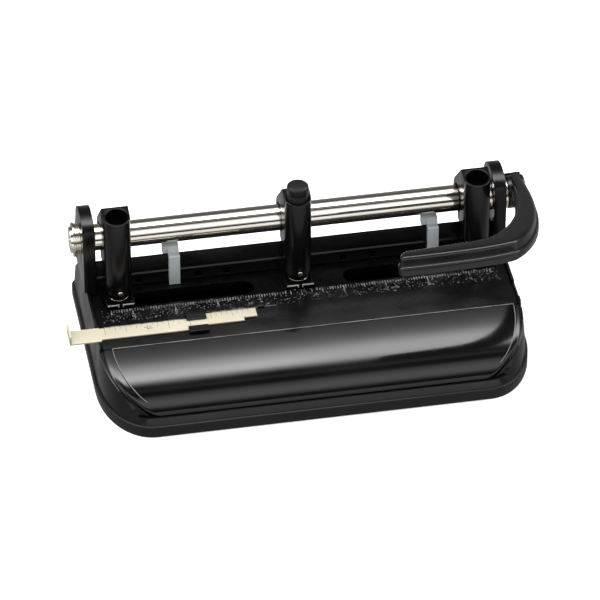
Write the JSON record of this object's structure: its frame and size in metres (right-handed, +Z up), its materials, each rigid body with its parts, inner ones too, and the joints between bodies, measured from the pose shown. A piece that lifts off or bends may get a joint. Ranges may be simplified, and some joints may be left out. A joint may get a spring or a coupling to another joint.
{
  "type": "hole punch",
  "caption": "Heavy-duty lever hole punch with punch heads on a chromed shaft, sliding paper stops, a centring rule and a chip tray under a curved base.",
  "frame": {"origin": "middle of the chip tray's flat underside", "axes": "+X along the shaft to the lever's side, +Y to the rear, +Z up"},
  "size_m": [0.2841, 0.149, 0.1069],
  "materials": {
    "tray": "matt black moulding",
    "enamel": "black enamel",
    "cover": "gloss black enamel",
    "casting": "gloss black on a casting",
    "chrome": "polished chrome plate",
    "steel": "turned steel",
    "dark_steel": "blackened steel",
    "handle": "satin black moulding",
    "cap": "black rubber",
    "clip": "pale grey moulding",
    "plated": "satin nickel plate"
  },
  "bodies": {
    "tray": {"chip_tray": "tray"},
    "base": {"body_shell": "enamel", "front_cover": "cover", "deck_plate": "enamel", "back_rail": "enamel", "rear_cover": "enamel", "left_ear": "casting", "right_ear": "casting", "rear_guide_keeper": "enamel", "front_guide_keeper": "enamel", "centre_head": "casting", "centre_die_block": "casting", "centre_die": "steel", "centre_head_screw": "steel", "centre_pin_spring": "steel"},
    "lever": {"shaft": "chrome", "left_eclip": "steel", "left_bush": "steel", "right_inner_bush": "steel", "right_outer_bush": "steel", "handle": "handle", "handle_screw": "steel"},
    "centre_plunger": {"centre_pin": "steel", "centre_cap": "cap"},
    "centre_collar": {"centre_cam": "dark_steel"},
    "left_carriage": {"left_head": "casting", "left_die_block": "casting", "left_die": "steel", "left_head_screw": "steel", "left_pin_spring": "steel"},
    "left_plunger": {"left_pin": "steel"},
    "left_collar": {"left_cam": "dark_steel"},
    "right_carriage": {"right_head": "casting", "right_die_block": "casting", "right_die": "steel", "right_head_screw": "steel", "right_pin_spring": "steel"},
    "right_plunger": {"right_pin": "steel"},
    "right_collar": {"right_cam": "dark_steel"},
    "guide": {"centring_guide": "plated"},
    "left_stop": {"left_paper_stop": "clip"},
    "right_stop": {"right_paper_stop": "clip"}
  },
  "joints": [
    {"name": "tray_release", "type": "slide", "parent": "tray", "child": "base", "axis": [0, 0, 1], "range_m": [0, 0.012]},
    {"name": "handle_press", "type": "hinge", "parent": "base", "child": "lever", "pos_m": [0, 0.0345, 0.0676], "axis": [1, 0, 0], "range_deg": [0, 30], "stiffness_Nm_per_rad": 0.4, "springref_deg": -22.92},
    {"name": "centre_cam_turn", "type": "hinge", "parent": "base", "child": "centre_collar", "pos_m": [0, 0.0345, 0.0676], "axis": [1, 0, 0], "range_deg": [0, 30]},
    {"name": "centre_pin_stroke", "type": "slide", "parent": "base", "child": "centre_plunger", "axis": [0, 0, -1], "range_m": [0, 0.0088], "deforming": ["centre_pin_spring"]},
    {"name": "left_head_slide", "type": "slide", "parent": "base", "child": "left_carriage", "axis": [1, 0, 0], "range_m": [0, 0.018]},
    {"name": "left_cam_turn", "type": "hinge", "parent": "left_carriage", "child": "left_collar", "pos_m": [-0.108, 0.0345, 0.0676], "axis": [1, 0, 0], "range_deg": [0, 30]},
    {"name": "left_pin_stroke", "type": "slide", "parent": "left_carriage", "child": "left_plunger", "axis": [0, 0, -1], "range_m": [0, 0.0088], "deforming": ["left_pin_spring"]},
    {"name": "right_head_slide", "type": "slide", "parent": "base", "child": "right_carriage", "axis": [1, 0, 0], "range_m": [-0.0075, 0]},
    {"name": "right_cam_turn", "type": "hinge", "parent": "right_carriage", "child": "right_collar", "pos_m": [0.108, 0.0345, 0.0676], "axis": [1, 0, 0], "range_deg": [0, 30]},
    {"name": "right_pin_stroke", "type": "slide", "parent": "right_carriage", "child": "right_plunger", "axis": [0, 0, -1], "range_m": [0, 0.0088], "deforming": ["right_pin_spring"]},
    {"name": "guide_slide", "type": "slide", "parent": "base", "child": "guide", "axis": [1, 0, 0], "range_m": [-0.02, 0.011]},
    {"name": "left_stop_slide", "type": "slide", "parent": "base", "child": "left_stop", "axis": [1, 0, 0], "range_m": [-0.018, 0.05]},
    {"name": "right_stop_slide", "type": "slide", "parent": "base", "child": "right_stop", "axis": [1, 0, 0], "range_m": [-0.06, 0.007]}
  ],
  "couplings": [
    {"joint": "centre_cam_turn", "follows": "handle_press", "ratio": 1},
    {"joint": "left_cam_turn", "follows": "handle_press", "ratio": 1},
    {"joint": "right_cam_turn", "follows": "handle_press", "ratio": 1},
    {"joint": "centre_pin_stroke", "follows": "handle_press", "m_per_rad": 0.0168},
    {"joint": "left_pin_stroke", "follows": "handle_press", "m_per_rad": 0.0168},
    {"joint": "right_pin_stroke", "follows": "handle_press", "m_per_rad": 0.0168}
  ]
}
